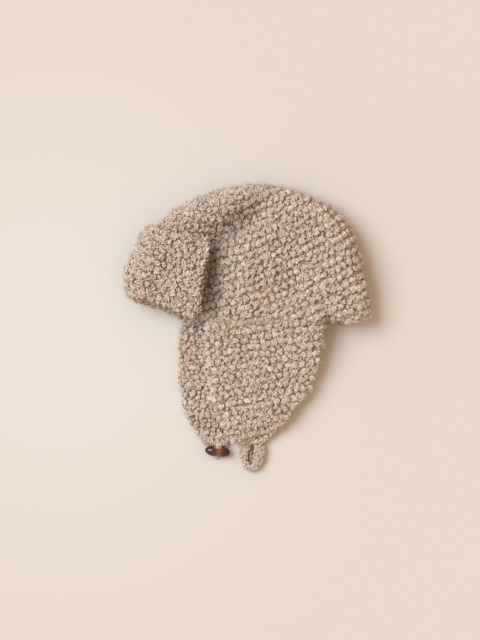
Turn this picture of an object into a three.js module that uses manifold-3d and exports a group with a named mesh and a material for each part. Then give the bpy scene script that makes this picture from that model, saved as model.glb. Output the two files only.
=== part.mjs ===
// Knitted earflap hat with a turned-up front peak, lying on its side on a flat surface.
// Millimetres. +X points to the back of the hat, +Y to the top of the crown, +Z up from the surface.
// Each knitted piece is a thick wall: the crown is a hollow cap pressed flat, with a near and a far
// layer that join in a round fold along its outline, and it is open at the rim.
import * as THREE from "three";
import { mergeVertices } from "three/addons/utils/BufferGeometryUtils.js";
import Module from "manifold-3d";

const wasm = await Module();
wasm.setup();

// Driving dimensions
const WALL = 9; // thickness of the garter knit
const SEAM = 0.3; // gap left between pieces that are sewn together
const FOLD = 20; // how far the round fold between the two layers reaches in from the outline
const RIM_LEVEL = 33; // height of the near layer at the rim
const LOFT = 41; // height of the near layer over the middle of the crown
const LOFT_RUN = 70; // distance from the rim over which the near layer rises to its loft
const LOFT_FOLDS = 13; // distance from the rim over which the near layer's dents and rolls set in
const PEAK_GAP = 0.9; // gap between the crown and the turned-up peak
const PEAK_LIFT = 5; // how far the peak's near side edge stands off the crown
const PEAK_LIFT_RUN = 45; // width over which the peak settles back on the crown
const FLAP_DESCENT = -78; // where the left flap, coming down from the rim, meets the right flap
const TIP_DROP = 9; // how far the left flap's tip sinks from the right flap to the surface
const SINK = { start: -112, clear: 6.5, run: 20 }; // where it sinks, beyond the right flap's edge
const FAR_SHIFT = -29; // the far side lies this much in front of the near side
const RIGHT_FLAP_SWING = 0.075; // radians that the right flap swings forward about the rim
const RIGHT_TIP = { start: -126, narrow: 0.25, centre: 5 }; // how the right flap narrows to its tip
const FAR_CLIMB = 24; // run over which the far layer climbs onto the peak's far half
const LOOP_HEIGHT = 8.6; // thickness of the button loop's yarn, measured off the surface
const TOGGLE_LENGTH = 30;
const TOGGLE_RADIUS = 6.7;
const TOGGLE_FORM = { taper: 2.4, fullness: 0.5 }; // exponents of its olive shape
const TOGGLE_WAIST = { depth: 0.7, width: 3.4 };
const TOGGLE_HOLE_RADIUS = 1.8;
const TOGGLE_TILT = -7.2; // degrees in the plane of the surface
const TIE_RADIUS = 1.4;
const WELD = 1e-4; // points closer than this are one

// How finely each piece is divided. Crowding draws its sections together towards the top.
const CROWN_GRID = { columns: 34, rows: 17, crowding: 1.5 };
const PEAK_GRID = { columns: 18, rows: 9, crowding: 1.35 };
const FLAP_GRID = { columns: 12, rows: 14 };
const LOOP_GRID = { steps: 22, sides: 10 };
const TOGGLE_GRID = { rings: 20, sides: 18 };
const TIE_SIDES = 10;

// Crown outline in plan, from the front corner of the rim over the top to the back corner
const OUTLINE = [
  { at: "front_rim", x: -136.5, y: 30 },
  { at: "forehead", x: -136.5, y: 53 },
  { at: "temple", x: -125.5, y: 80 },
  { at: "brow", x: -116, y: 104.5 },
  { at: "front_slope", x: -100, y: 125 },
  { at: "front_dome", x: -71, y: 143.5 },
  { at: "front_top", x: -30, y: 159 },
  { at: "top", x: 15, y: 164 },
  { at: "back_top", x: 62, y: 155 },
  { at: "back_dome", x: 103, y: 135 },
  { at: "back_high", x: 129, y: 101 },
  { at: "back_low", x: 143, y: 58 },
  { at: "nape", x: 150, y: 22 },
  { at: "back_rim", x: 150.5, y: 3 },
];
const TOP_INDEX = OUTLINE.findIndex((row) => row.at === "top");

// Rim in plan: level above the flaps, stepping up at the peak, curving up to the forehead, a little
// lower behind the flaps and rounded at the nape
const RIM_STEP = { from: -49, to: -57, rise: 9.3 };
const RIM_CURVE = { start: -70, bend: 0.0052 };
const RIM_BACK = { from: 104, to: 122, rise: -3 };
const RIM_NAPE = { from: 138, to: 151, rise: 6 };

// Dents and rolls of the near layer, as soft ridges in plan. Angle is in degrees from +X.
const NEAR_FOLDS = [
  { name: "dent_beside_peak", x: -44, y: 54, angle: 88, length: 54, width: 17, rise: -13 },
  { name: "valley_over_peak", x: -14, y: 114, angle: 33, length: 40, width: 12, rise: -11 },
  { name: "front_roll", x: -42, y: 133, angle: 24, length: 44, width: 14, rise: 5 },
  { name: "side_swell", x: 8, y: 66, angle: 100, length: 46, width: 30, rise: 3.5 },
  { name: "back_dip", x: 54, y: 58, angle: 60, length: 36, width: 18, rise: -3 },
  { name: "pressed_by_peak", x: -98, y: 62, angle: 70, length: 62, width: 40, rise: -3.5 },
];

// Turned-up peak in plan: its side edge from the rim up, and its top edge's end on the outline
const PEAK_SIDE = [
  { x: -57, y: 9 },
  { x: -53.5, y: 34 },
  { x: -50, y: 62 },
  { x: -44, y: 82 },
  { x: -46, y: 99 },
];
const PEAK_HEIGHT = PEAK_SIDE.at(-1).y - PEAK_SIDE[0].y;
const PEAK_TOP_SHARE = 0.5; // share of the front outline that the peak covers
const PEAK_TAPER = { run: 24, least: 0.38 }; // how the peak thins towards its top edge
// The turn at the rim, from the lip under the crown's wall to the peak's own wall
const PEAK_TURN = [
  { out: -WALL + 1, drop: 3.1, thick: 5 },
  { out: -1, drop: 3.9, thick: 5 },
  { out: 3.5, drop: 2.7, thick: 6 },
  { out: PEAK_GAP + WALL / 2, drop: -4, thick: WALL },
];

// Ear flap in plan, seen from the near side, a row for each section from the rim to the tip
const FLAP = [
  { y: 0, left: -49, right: 96 },
  { y: -30, left: -49.5, right: 92.5 },
  { y: -60, left: -47.5, right: 87 },
  { y: -85, left: -43.5, right: 75.5 },
  { y: -105, left: -38, right: 62 },
  { y: -122, left: -30.5, right: 47.5 },
  { y: -137, left: -22.5, right: 34 },
  { y: -144, left: -17, right: 27 },
  { y: -148, left: -9, right: 22 },
];
const FLAP_LENGTH = -FLAP.at(-1).y;

// Button loop's centreline at the left flap's tip, with the yarn's width along it
const LOOP = [
  { x: 1.6, y: -FLAP_LENGTH - 2 * SEAM, z: 5, width: 10 },
  { x: -1.2, y: -157, z: 4.7, width: 10.4 },
  { x: -1.2, y: -167.5, z: 4.6, width: 8.8 },
  { x: 5.4, y: -177.4, z: 4.6, width: 8.6 },
  { x: 13.8, y: -172, z: 4.6, width: 11.6 },
  { x: 17, y: -160.5, z: 4.7, width: 14.4 },
  { x: 16.2, y: -FLAP_LENGTH - 2 * SEAM, z: 5, width: 12.2 },
];

// Toggle's centre in plan, and the tie's radius along its length from the right flap's tip
const TOGGLE_CENTRE = { x: -33.6, y: -157.4 };
const TIE = [
  { at: -8.1, radius: 4.6 },
  { at: -6.9, radius: 4.4 },
  { at: -6.3, radius: TIE_RADIUS },
  { at: 6.4, radius: TIE_RADIUS },
  { at: 7.1, radius: 3 },
  { at: 9.1, radius: 3 },
];

const lerp = THREE.MathUtils.lerp;
const smooth = (value, low, high) => THREE.MathUtils.smoothstep(value, low, high);
const roundProfile = (distance, reach) =>
  Math.sqrt(Math.max(0, 1 - (1 - Math.min(Math.max(distance, 0) / reach, 1)) ** 2));

// Shares from 0 to 1 that crowd together at both ends
const crowded = (count) =>
  Array.from({ length: count + 1 }, (_, i) => (1 - Math.cos((Math.PI * i) / count)) / 2);

// The places in a list of shares that lie nearest to the given values, each a different one
function nearestPlaces(shares, values) {
  const places = [];
  for (const value of values) {
    const away = shares.map((share, i) => (places.includes(i) ? Infinity : Math.abs(share - value)));
    places.push(away.indexOf(Math.min(...away)));
  }
  return places;
}

// The outline as a smooth curve, with an outward offset in plan
const outlineCurve = new THREE.SplineCurve(OUTLINE.map(({ x, y }) => new THREE.Vector2(x, y)));
const TOP_AT = TOP_INDEX / (OUTLINE.length - 1);

function outlinePoint(at, offset) {
  const along = outlineCurve.getTangent(at);
  const outward = new THREE.Vector2(-along.y, along.x);
  return outlineCurve.getPoint(at).addScaledVector(outward, offset);
}

// The outline as a chain of points, carried straight on below the rim at both ends
const CHAIN_RUN_ON = 30;
const CHAIN_STEPS = 360;
const chainEnd = (at, sign) =>
  outlineCurve.getPoint(at).addScaledVector(outlineCurve.getTangent(at), sign * CHAIN_RUN_ON);
const outlineChain = [chainEnd(0, -1), ...outlineCurve.getPoints(CHAIN_STEPS), chainEnd(1, 1)];

// Distance in plan from the outline, positive inside
function depthInside(x, y) {
  let nearest = Infinity;
  let side = 1;
  for (let i = 1; i < outlineChain.length; i++) {
    const a = outlineChain[i - 1];
    const b = outlineChain[i];
    const [dx, dy] = [b.x - a.x, b.y - a.y];
    const share = ((x - a.x) * dx + (y - a.y) * dy) / (dx * dx + dy * dy);
    const t = THREE.MathUtils.clamp(share, 0, 1);
    const distance = Math.hypot(x - a.x - t * dx, y - a.y - t * dy);
    if (distance < nearest) {
      nearest = distance;
      side = dx * (y - a.y) - dy * (x - a.x) < 0 ? 1 : -1;
    }
  }
  return side * nearest;
}

// Places on the far side (side -1) lie in front of the same places on the near side
const sideShift = (side) => (side > 0 ? 0 : FAR_SHIFT);

function rimLevel(x, side) {
  const shift = sideShift(side);
  const step = RIM_STEP.rise * smooth(shift - x, -RIM_STEP.from, -RIM_STEP.to);
  const curve = RIM_CURVE.bend * Math.max(0, RIM_CURVE.start - x) ** 2;
  const back = RIM_BACK.rise * smooth(x, RIM_BACK.from + shift, RIM_BACK.to + shift);
  const nape = RIM_NAPE.rise * smooth(x, RIM_NAPE.from, RIM_NAPE.to);
  return step + curve + back + nape;
}

// How much longer a drop straight down is than one square to the rim
const rimStretch = (x) => Math.hypot(1, 2 * RIM_CURVE.bend * Math.max(0, RIM_CURVE.start - x));

function foldRise(fold, x, y) {
  const angle = THREE.MathUtils.degToRad(fold.angle);
  const [dx, dy] = [x - fold.x, y - fold.y];
  const along = dx * Math.cos(angle) + dy * Math.sin(angle);
  const across = dy * Math.cos(angle) - dx * Math.sin(angle);
  return fold.rise * Math.exp(-((along / fold.length) ** 2) - (across / fold.width) ** 2);
}

// The near layer's height. What spans a dent doesn't follow it.
function nearLevel(x, y, spanned) {
  const rise = (LOFT - RIM_LEVEL) * smooth(y, 0, LOFT_RUN);
  const followed = NEAR_FOLDS.filter((fold) => fold.name !== spanned);
  const folds = followed.reduce((sum, fold) => sum + foldRise(fold, x, y), 0);
  return RIM_LEVEL + rise + smooth(y, 0, LOFT_FOLDS) * folds;
}

// The far layer lies on the surface, and climbs over the far half of the peak
function farLevel(x, y) {
  const edge = valueAt(PEAK_SIDE, "x", y) + FAR_SHIFT;
  const top = lerp(PEAK_SIDE.at(-1).y, outlinePoint(PEAK_TOP_SHARE * TOP_AT, 0).y, 0.5);
  const overPeak = (1 - smooth(x, edge, edge + FAR_CLIMB)) * (1 - smooth(y, top, top + FAR_CLIMB));
  return (WALL + PEAK_GAP) * overPeak;
}

// Height of the near (side 1) or far (side -1) surface, offset outwards from the crown's outside.
// fromFold is how far the point lies from the fold along its section, and spanned a dent not followed.
const LEAST_DEPTH = 0.15; // keeps the two layers apart right beside the fold

function layerLevel(x, y, side, offset, fromFold, spanned) {
  const near = nearLevel(x, y, spanned);
  const far = farLevel(x, y);
  const middle = (near + far) / 2;
  const least = LEAST_DEPTH * fromFold;
  const depth = fromFold > 0 ? Math.max(depthInside(x, y) + offset, least) : 0;
  const reach = side > 0 ? near + offset - middle : middle - far + offset;
  return middle + side * reach * roundProfile(depth, FOLD + offset);
}

// A table's value at a given y, where its rows run up or down in y
function valueAt(rows, key, y) {
  const rising = rows.at(-1).y > rows[0].y ? rows : rows.toReversed();
  const above = rising.findIndex((row) => row.y > y);
  if (above <= 0) return (above < 0 ? rising.at(-1) : rising[0])[key];
  const [low, high] = [rising[above - 1], rising[above]];
  return lerp(low[key], high[key], (y - low.y) / (high.y - low.y));
}

// A sheet in plan between two side curves over a shaped lower edge: u runs across and v up
function plan(leftAt, rightAt, levelAt, u, v) {
  const [left, right] = [leftAt(v), rightAt(v)];
  const [leftFoot, rightFoot] = [leftAt(0), rightAt(0)];
  const foot = { x: lerp(leftFoot.x, rightFoot.x, u), y: lerp(leftFoot.y, rightFoot.y, u) };
  return {
    x: lerp(left.x, right.x, u),
    y: lerp(left.y, right.y, u) + (1 - v) * (levelAt(foot.x) - foot.y),
  };
}

// Collects quads as triangles, leaves out those with no area, and welds them into one closed mesh
function closedMesh(addFaces) {
  const corners = [];
  const triangle = (a, b, c) => {
    const apart = (p, q) => p.distanceTo(q) > WELD;
    if (apart(a, b) && apart(b, c) && apart(c, a)) corners.push(a, b, c);
  };
  addFaces((a, b, c, d) => {
    triangle(a, b, c);
    triangle(a, c, d);
  });
  return mergeVertices(new THREE.BufferGeometry().setFromPoints(corners), WELD);
}

// A slab whose two faces are front[i][j] and back[i][j], closed round its four edges
function slab(front, back) {
  const [rows, columns] = [front.length - 1, front[0].length - 1];
  return closedMesh((quad) => {
    for (let i = 0; i < rows; i++)
      for (let j = 0; j < columns; j++) {
        quad(front[i][j], front[i][j + 1], front[i + 1][j + 1], front[i + 1][j]);
        quad(back[i][j], back[i + 1][j], back[i + 1][j + 1], back[i][j + 1]);
      }
    for (let j = 0; j < columns; j++) {
      quad(front[0][j], back[0][j], back[0][j + 1], front[0][j + 1]);
      quad(front[rows][j], front[rows][j + 1], back[rows][j + 1], back[rows][j]);
    }
    for (let i = 0; i < rows; i++) {
      quad(front[i][0], front[i + 1][0], back[i + 1][0], back[i][0]);
      quad(front[i][columns], back[i][columns], back[i + 1][columns], front[i + 1][columns]);
    }
  });
}

// Thickens a grid of middle points by a half thickness at each, along the sheet's own normals
function thicken(middle, half) {
  const last = middle.length - 1;
  const end = middle[0].length - 1;
  const normal = (i, j) => {
    const across = middle[i][Math.min(end, j + 1)].clone().sub(middle[i][Math.max(0, j - 1)]);
    const up = middle[Math.min(last, i + 1)][j].clone().sub(middle[Math.max(0, i - 1)][j]);
    return across.cross(up).normalize();
  };
  const face = (sign) =>
    middle.map((row, i) =>
      row.map((point, j) => point.clone().addScaledVector(normal(i, j), sign * half[i][j])),
    );
  return slab(face(1), face(-1));
}

// The crown's wall: an outside and an inside surface, each with a near and a far layer
function crownGeometry() {
  const { columns, rows, crowding } = CROWN_GRID;
  const surface = (offset, side) => {
    const front = (share) => outlinePoint(share * TOP_AT, offset);
    const back = (share) => outlinePoint(1 - share * (1 - TOP_AT), offset);
    const shares = crowded(columns);
    const stepShares = (out) => {
      const [start, end] = [outlinePoint(0, out).x, outlinePoint(1, out).x];
      return [RIM_STEP.to, RIM_STEP.from].map((x) => (x + sideShift(side) - start) / (end - start));
    };
    const places = nearestPlaces(shares, stepShares(0));
    stepShares(offset).forEach((share, i) => (shares[places[i]] = share));
    return Array.from({ length: rows + 1 }, (_, i) => {
      const v = 1 - (1 - i / rows) ** crowding;
      return shares.map((u) => {
        const { x, y } = plan(front, back, (footX) => rimLevel(footX, side), u, v);
        const fromFold = Math.min(u, 1 - u) * front(v).distanceTo(back(v));
        return new THREE.Vector3(x, y, layerLevel(x, y, side, offset, fromFold));
      });
    });
  };
  const outside = { near: surface(0, 1), far: surface(0, -1) };
  const inside = { near: surface(-WALL, 1), far: surface(-WALL, -1) };
  return closedMesh((quad) => {
    for (let i = 0; i < rows; i++)
      for (let j = 0; j < columns; j++)
        for (const [grid, turned] of [
          [outside.near, false],
          [outside.far, true],
          [inside.near, true],
          [inside.far, false],
        ]) {
          const ring = [grid[i][j], grid[i][j + 1], grid[i + 1][j + 1], grid[i + 1][j]];
          quad(...(turned ? ring.reverse() : ring));
        }
    for (let j = 0; j < columns; j++) {
      const edge = (grid) => [grid[0][j], grid[0][j + 1]];
      const [nearOut, nearIn] = [edge(outside.near), edge(inside.near)];
      const [farOut, farIn] = [edge(outside.far), edge(inside.far)];
      quad(nearOut[0], nearIn[0], nearIn[1], nearOut[1]);
      quad(farOut[0], farOut[1], farIn[1], farIn[0]);
    }
  });
}

// The peak: a sheet round the front of the crown, turned up at the rim, from its near side
// edge over the front fold to its far side edge
function peakGeometry() {
  const { columns, rows, crowding } = PEAK_GRID;
  const sideCurve = new THREE.SplineCurve(PEAK_SIDE.map(({ x, y }) => new THREE.Vector2(x, y)));
  const turn = PEAK_TURN.map((row) => ({ ...row, share: 0 }));
  const wall = Array.from({ length: rows }, (_, i) => ({
    ...PEAK_TURN.at(-1),
    share: 1 - (1 - (i + 1) / rows) ** crowding,
  }));
  const shares = crowded(columns);
  const middle = [];
  const half = [];
  for (const { drop, share, ...full } of [...turn, ...wall]) {
    const top = (1 - share) * PEAK_HEIGHT;
    const thin = lerp(PEAK_TAPER.least, 1, smooth(top, 0, PEAK_TAPER.run));
    const thick = full.thick * thin;
    const out = full.out - (full.thick - thick) / 2;
    const front = (v) => outlinePoint(v * PEAK_TOP_SHARE * TOP_AT, out);
    const layer = (side) => {
      const sideEdge = (v) => sideCurve.getPoint(v).add(new THREE.Vector2(sideShift(side), 0));
      const width = sideEdge(share).distanceTo(front(share));
      return shares.map((u) => {
        const footLevel = (footX) => rimLevel(footX, side) - drop * rimStretch(footX);
        const { x, y } = plan(sideEdge, front, footLevel, u, share);
        const settled = smooth(u * width, 0, PEAK_LIFT_RUN);
        const lift = side > 0 ? PEAK_LIFT * (1 - settled) * share : 0;
        const level = layerLevel(x, y, side, out, (1 - u) * width, "dent_beside_peak");
        return new THREE.Vector3(x, y, level + lift);
      });
    };
    const [near, far] = [layer(1), layer(-1)];
    const ring = [...far, ...near.slice(0, -1).reverse()];
    middle.push(ring);
    half.push(
      ring.map((point) => {
        const edge = Math.min(top, point.distanceTo(ring[0]), point.distanceTo(ring.at(-1)));
        return (thick / 2) * roundProfile(edge, thick / 2);
      }),
    );
  }
  return thicken(middle, half);
}

// An ear flap: a sheet with rounded side edges and flat ends at rim and tip
const flapSide = (key) =>
  new THREE.SplineCurve(FLAP.map((row) => new THREE.Vector2(row[key], row.y)));
const flapLeft = flapSide("left");
const flapRight = flapSide("right");

function flapGeometry(place, levelAt) {
  const { columns, rows } = FLAP_GRID;
  const face = (sign) =>
    Array.from({ length: rows + 1 }, (_, i) => {
      const [left, right] = [flapLeft, flapRight].map((side) => side.getPoint(1 - i / rows));
      return crowded(columns).map((u) => {
        const { x, y } = place(lerp(left.x, right.x, u), left.y);
        const edge = Math.min(u, 1 - u) * (right.x - left.x);
        const half = (WALL / 2) * roundProfile(edge, WALL / 2);
        return new THREE.Vector3(x, y, levelAt(x, y) + sign * half);
      });
    });
  return slab(face(1), face(-1));
}

// The right flap lies on the surface under the left one, swung forward and narrower at its tip
function placeRight(x, y) {
  const narrow = RIGHT_TIP.narrow * smooth(-y, -RIGHT_TIP.start, FLAP_LENGTH);
  const across = lerp(x, RIGHT_TIP.centre, narrow);
  return { x: across + FAR_SHIFT + RIGHT_FLAP_SWING * y, y: y - SEAM };
}

const placeLeft = (x, y) => ({ x, y: y - SEAM });

// The left flap runs level with the crown's near layer at the rim, comes down on the right flap,
// and its tip sinks to the surface beyond the right flap's edge
function leftFlapLevel(x, y) {
  const onRight = WALL + SEAM + WALL / 2;
  const atRim = RIM_LEVEL - WALL / 2;
  const edge = placeRight(valueAt(FLAP, "right", y), y).x + SINK.clear;
  const sink = smooth(x, edge, edge + SINK.run) * smooth(-y, -SINK.start, FLAP_LENGTH);
  return onRight + (atRim - onRight) * smooth(y, FLAP_DESCENT, 0) - TIP_DROP * sink;
}

// The button loop: yarn of oval section swept along its centreline
function loopGeometry() {
  const { steps, sides } = LOOP_GRID;
  const path = new THREE.CatmullRomCurve3(LOOP.map(({ x, y, z }) => new THREE.Vector3(x, y, z)));
  const widths = new THREE.CatmullRomCurve3(LOOP.map(({ width }) => new THREE.Vector3(width, 0, 0)));
  const rings = Array.from({ length: steps + 1 }, (_, i) => {
    const centre = path.getPoint(i / steps);
    const tangent = path.getTangent(i / steps);
    const across = new THREE.Vector3(-tangent.y, tangent.x, 0).normalize();
    if (i === 0 || i === steps) across.set(Math.sign(across.x), 0, 0);
    const width = widths.getPoint(i / steps).x / 2;
    return Array.from({ length: sides }, (_, k) => {
      const angle = (2 * Math.PI * k) / sides;
      const point = centre.clone().addScaledVector(across, width * Math.cos(angle));
      point.z += (LOOP_HEIGHT / 2) * Math.sin(angle);
      return point;
    });
  });
  return closedMesh((quad) => {
    for (let i = 0; i < steps; i++)
      for (let k = 0; k < sides; k++) {
        const next = (k + 1) % sides;
        quad(rings[i][k], rings[i][next], rings[i + 1][next], rings[i + 1][k]);
      }
    for (const [ring, turned] of [[rings[0], true], [rings[steps], false]])
      for (let k = 1; k < sides - 1; k++) {
        const face = [ring[0], ring[k], ring[k + 1]];
        quad(...(turned ? face.reverse() : face), face[0]);
      }
  });
}

// A solid for cutting or joining
function solidOf(geometry) {
  const bare = geometry.clone().deleteAttribute("normal").deleteAttribute("uv");
  const merged = mergeVertices(bare, WELD);
  return new wasm.Manifold(
    new wasm.Mesh({
      numProp: 3,
      vertProperties: merged.attributes.position.array,
      triVerts: new Uint32Array(merged.index.array),
    }),
  );
}

function geometryOf(solid) {
  const { vertProperties, triVerts } = solid.getMesh();
  return new THREE.BufferGeometry()
    .setAttribute("position", new THREE.BufferAttribute(vertProperties, 3))
    .setIndex(new THREE.BufferAttribute(triVerts, 1));
}

// The toggle: an olive-shaped bead, turned about X, with a waist and a hole across it
function toggleGeometry() {
  const { rings, sides } = TOGGLE_GRID;
  const length = TOGGLE_LENGTH / 2;
  const radiusAt = (x) =>
    TOGGLE_RADIUS * (1 - Math.abs(x / length) ** TOGGLE_FORM.taper) ** TOGGLE_FORM.fullness -
    TOGGLE_WAIST.depth * Math.exp(-((x / TOGGLE_WAIST.width) ** 2));
  const profile = Array.from({ length: rings + 1 }, (_, i) => {
    const x = -length * Math.cos((Math.PI * i) / rings);
    return new THREE.Vector2(i === 0 || i === rings ? 0 : radiusAt(x), x);
  });
  const body = new THREE.LatheGeometry(profile, sides).rotateZ(-Math.PI / 2);
  const through = [TOGGLE_HOLE_RADIUS, TOGGLE_HOLE_RADIUS, 4 * TOGGLE_RADIUS, TIE_SIDES];
  const hole = new THREE.CylinderGeometry(...through);
  return geometryOf(solidOf(body).subtract(solidOf(hole)));
}

// The tie: a tuft at the flap's tip, a stem through the toggle and a knot beyond it
function tieGeometry() {
  const profile = TIE.map(({ at, radius }) => new THREE.Vector2(radius, -at));
  const ends = [new THREE.Vector2(0, -TIE[0].at), new THREE.Vector2(0, -TIE.at(-1).at)];
  return new THREE.LatheGeometry([ends[0], ...profile, ends[1]].reverse(), TIE_SIDES);
}

const knit = new THREE.MeshStandardMaterial({ color: 0xb29d8b, roughness: 0.95, metalness: 0 });
const wood = new THREE.MeshStandardMaterial({ color: 0x3b1a12, roughness: 0.25, metalness: 0 });

function piece(name, geometry, material) {
  const mesh = new THREE.Mesh(geometry, material);
  mesh.name = name;
  return mesh;
}

const fastening = new THREE.Group();
fastening.add(piece("toggle", toggleGeometry(), wood), piece("toggle_tie", tieGeometry(), knit));
fastening.rotation.z = THREE.MathUtils.degToRad(TOGGLE_TILT);
fastening.position.set(TOGGLE_CENTRE.x, TOGGLE_CENTRE.y, TOGGLE_RADIUS);

const laid = new THREE.Group();
laid.add(
  piece("crown", crownGeometry(), knit),
  piece("front_peak", peakGeometry(), knit),
  piece("ear_flap_left", flapGeometry(placeLeft, leftFlapLevel), knit),
  piece("ear_flap_right", flapGeometry(placeRight, () => WALL / 2), knit),
  piece("button_loop", loopGeometry(), knit),
  fastening,
);

// The origin is the middle of the hat's box, on the surface that it lies on
const box = new THREE.Box3().setFromObject(laid, true);
laid.position.set(-(box.min.x + box.max.x) / 2, -(box.min.y + box.max.y) / 2, -box.min.z);

const hat = new THREE.Group();
hat.add(laid);
export default hat;
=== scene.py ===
import math

import bpy
import bmesh
import numpy as np
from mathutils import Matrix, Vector
from mathutils.bvhtree import BVHTree


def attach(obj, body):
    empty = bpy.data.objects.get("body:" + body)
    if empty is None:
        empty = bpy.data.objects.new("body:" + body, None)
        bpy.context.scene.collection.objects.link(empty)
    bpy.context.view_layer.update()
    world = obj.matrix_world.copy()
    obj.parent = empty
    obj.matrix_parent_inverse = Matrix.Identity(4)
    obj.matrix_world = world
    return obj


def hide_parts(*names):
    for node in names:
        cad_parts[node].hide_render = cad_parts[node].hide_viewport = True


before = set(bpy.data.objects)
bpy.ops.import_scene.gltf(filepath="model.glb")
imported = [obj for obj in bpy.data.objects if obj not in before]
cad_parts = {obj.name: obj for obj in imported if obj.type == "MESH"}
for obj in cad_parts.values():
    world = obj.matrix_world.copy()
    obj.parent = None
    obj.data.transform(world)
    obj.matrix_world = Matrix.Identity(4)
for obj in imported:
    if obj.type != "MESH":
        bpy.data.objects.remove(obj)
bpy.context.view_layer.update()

# Knitted earflap hat lying on its side on a plain pale floor. Lengths in the tables are in
# millimetres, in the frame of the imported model, and the meshes are in metres. Angles in the tables
# are in degrees.
MM = 0.001
SEEDS = {"knit": 41, "edges": 11, "fills": 5, "tie": 7}

# Camera: straight above, with the photograph's framing at the hat's middle height
VIEW_CENTRE = (-8.4, 9.93)
VIEW_TALL = 768
VIEW_LEVEL = 25
CAMERA_DISTANCE = 3200
SENSOR = 36

# Ground of the knit, under the nubs
VOXEL = {"crown": 3.1, "front_peak": 2.5, "ear_flap_left": 2.5, "ear_flap_right": 2.5, "button_loop": 1.0}
SMOOTHING = (0.5, -0.53) * 3  # steps that even the squares out and keep the size
GROUND_DEPTH = 2.3  # how far the ground lies below the solid's face where nubs cover it
HIDDEN_DEPTH = 1.2  # and where another surface hides it
CLOSE = 4.5  # a face with another surface nearer than this is hidden
OPEN = 60  # a face with nothing nearer than this in front of it lies open
SEAM_FACING = 0.3  # beside a seam, faces that rise more than this show from above
MOUTH_REACH = 42  # how far up the hollow the nubs on its inside go on, in Y
REST_LEVEL = 0.15  # lowest point of anything that lies on the floor
SEEN_FACING = -0.25  # nubs whose outward direction rises less than this have plainer curls
SOFT_ENOUGH = 1.3  # least soft depth of an outline with long fuzz

# Nubs, in passes from large to small: least distance to the others, how far they may lie from the
# ridge line, half sizes, and how far their middles lie below the solid's face
NUB_PASSES = [
    {"apart": 7.0, "band": 0.11, "along": 4.5, "across": 4.2, "high": 3.7, "sink": 1.7},
    {"apart": 6.5, "band": 0.32, "along": 4.0, "across": 3.7, "high": 3.2, "sink": 2.3},
    {"apart": 5.4, "band": 0.50, "along": 3.5, "across": 3.2, "high": 2.8, "sink": 2.9},
    {"apart": 4.3, "band": 0.50, "along": 2.8, "across": 2.6, "high": 2.3, "sink": 3.2},
]
SMALL = 3  # the pass of small nubs that fill the holes between the others
SAME_SIDE = 0.1  # nubs whose outward directions agree less than this don't crowd each other
NUB_SIZES = (0.77, 1.19)  # range of a nub's size against its pass
SINK_SPREAD = 0.35  # how much nubs differ in how deep they lie
NUB_DENT = 0.17  # how uneven a nub is
CANDIDATE_AREA = 1.3  # square millimetres of knit for each place tried

# How much further the knit's body lies in where the outline is soft: directions that it faces, and
# the depth at each
SOFT_SIDES = {
    "crown": [(20, 70, 100, 125, 180, 230, 380), (0.3, 1.2, 2.4, 4.8, 4.4, 1.0, 0.3)],
    "front_peak": [(60, 110, 180, 215, 240, 278, 300, 420), (1.0, 4.0, 3.6, 2.2, 5.0, 5.6, 3.0, 1.0)],
}
UNDER_SHARE = 0.5  # how fast the depth eases off below the outline, against above it
SOFT_STEEPNESS = (0.15, 0.75)  # where it starts and is full, from 0 for flat to 1 for upright

# How loose the curls are: everywhere, and more on the peak and on the crown where it lies over it,
# which grows between these distances along -X and +Y
LOOSENESS = {"least": 0.12, "peak": 0.7, "crown": 0.6}
OVER_PEAK = {"front": (5, 60), "top": (95, 120)}

# Curls of yarn over each nub: parts of small circles on its round. Length is in radians and circle
# and cap in degrees, all seen from the nub's middle, and reach is a share of its half sizes.
CURLS = {
    "count": 5,
    "rings": 6,
    "radius": (0.58, 1.08),
    "length": (0.9, 1.9),
    "circle": (28, 85),
    "cap": 64,
    "reach": (0.95, 1.15),
}
SMALL_CURLS = {
    "count": 3,
    "rings": 5,
    "radius": (0.52, 0.95),
    "length": (1.1, 2.0),
    "circle": (30, 85),
    "cap": 60,
    "reach": (0.92, 1.12),
}
UNDER_CURLS = {
    "count": 1,
    "rings": 5,
    "radius": (0.8, 1.15),
    "length": (1.6, 2.8),
    "circle": (35, 85),
    "cap": 55,
    "reach": (0.92, 1.06),
}
STRAY_CURLS = {
    "count": 4,
    "rings": 6,
    "radius": (0.22, 0.46),
    "length": (1.0, 2.2),
    "circle": (16, 60),
    "cap": 85,
    "reach": (1.15, 1.75),
}
FUZZ = {"length": (4.0, 12.0), "radius": 0.17, "copies": 34}  # at the outline's soft side
FIBRES = {"length": (2.5, 6.0), "radius": 0.15, "copies": 8}  # at the rest of the outline
SIDE_FACING = 0.45  # nubs whose outward direction rises less than this stand at the outline
YARN_SIDES = 3  # sides of each curl and fibre
LONGEST_ARC = 5.4  # in radians, so that a curl doesn't meet itself
SLUB = 0.14  # how much a strand's thickness varies along it

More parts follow.
